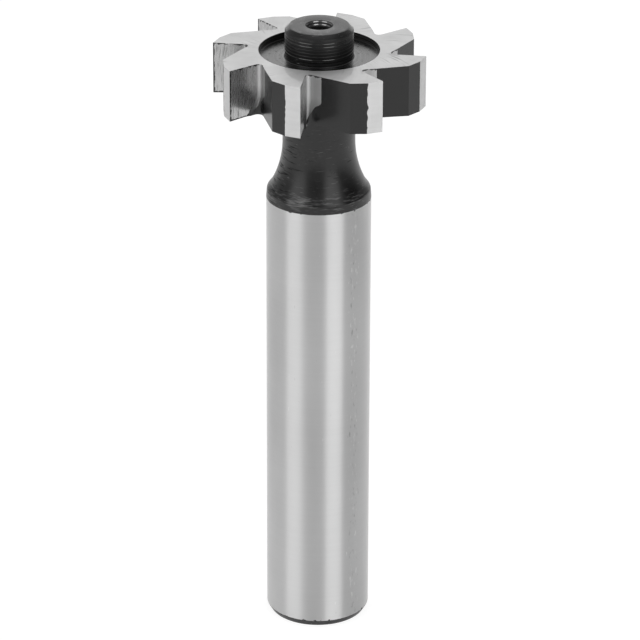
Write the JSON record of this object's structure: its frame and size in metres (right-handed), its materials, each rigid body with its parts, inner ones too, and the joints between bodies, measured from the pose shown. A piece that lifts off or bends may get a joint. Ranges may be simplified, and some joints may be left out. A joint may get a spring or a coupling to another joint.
{
  "type": "t-slot cutter",
  "caption": "Straight-shank T-slot cutter with a disc-shaped toothed head on a waisted neck and a short turned hub.",
  "frame": {"origin": "centre of the shank's end face, which the cutter stands on", "axes": "+Z along the cutter's axis from the shank end to the hub; +X is 35.33 degrees clockwise of one tooth tip, seen from the hub"},
  "size_m": [0.024, 0.024, 0.0733],
  "materials": {
    "tool_steel": "ground shank, lands, rake faces and head faces; black steam-oxide neck, hub and tooth backs"
  },
  "bodies": {
    "root": {"t_slot_cutter": "tool_steel"}
  },
  "joints": []
}
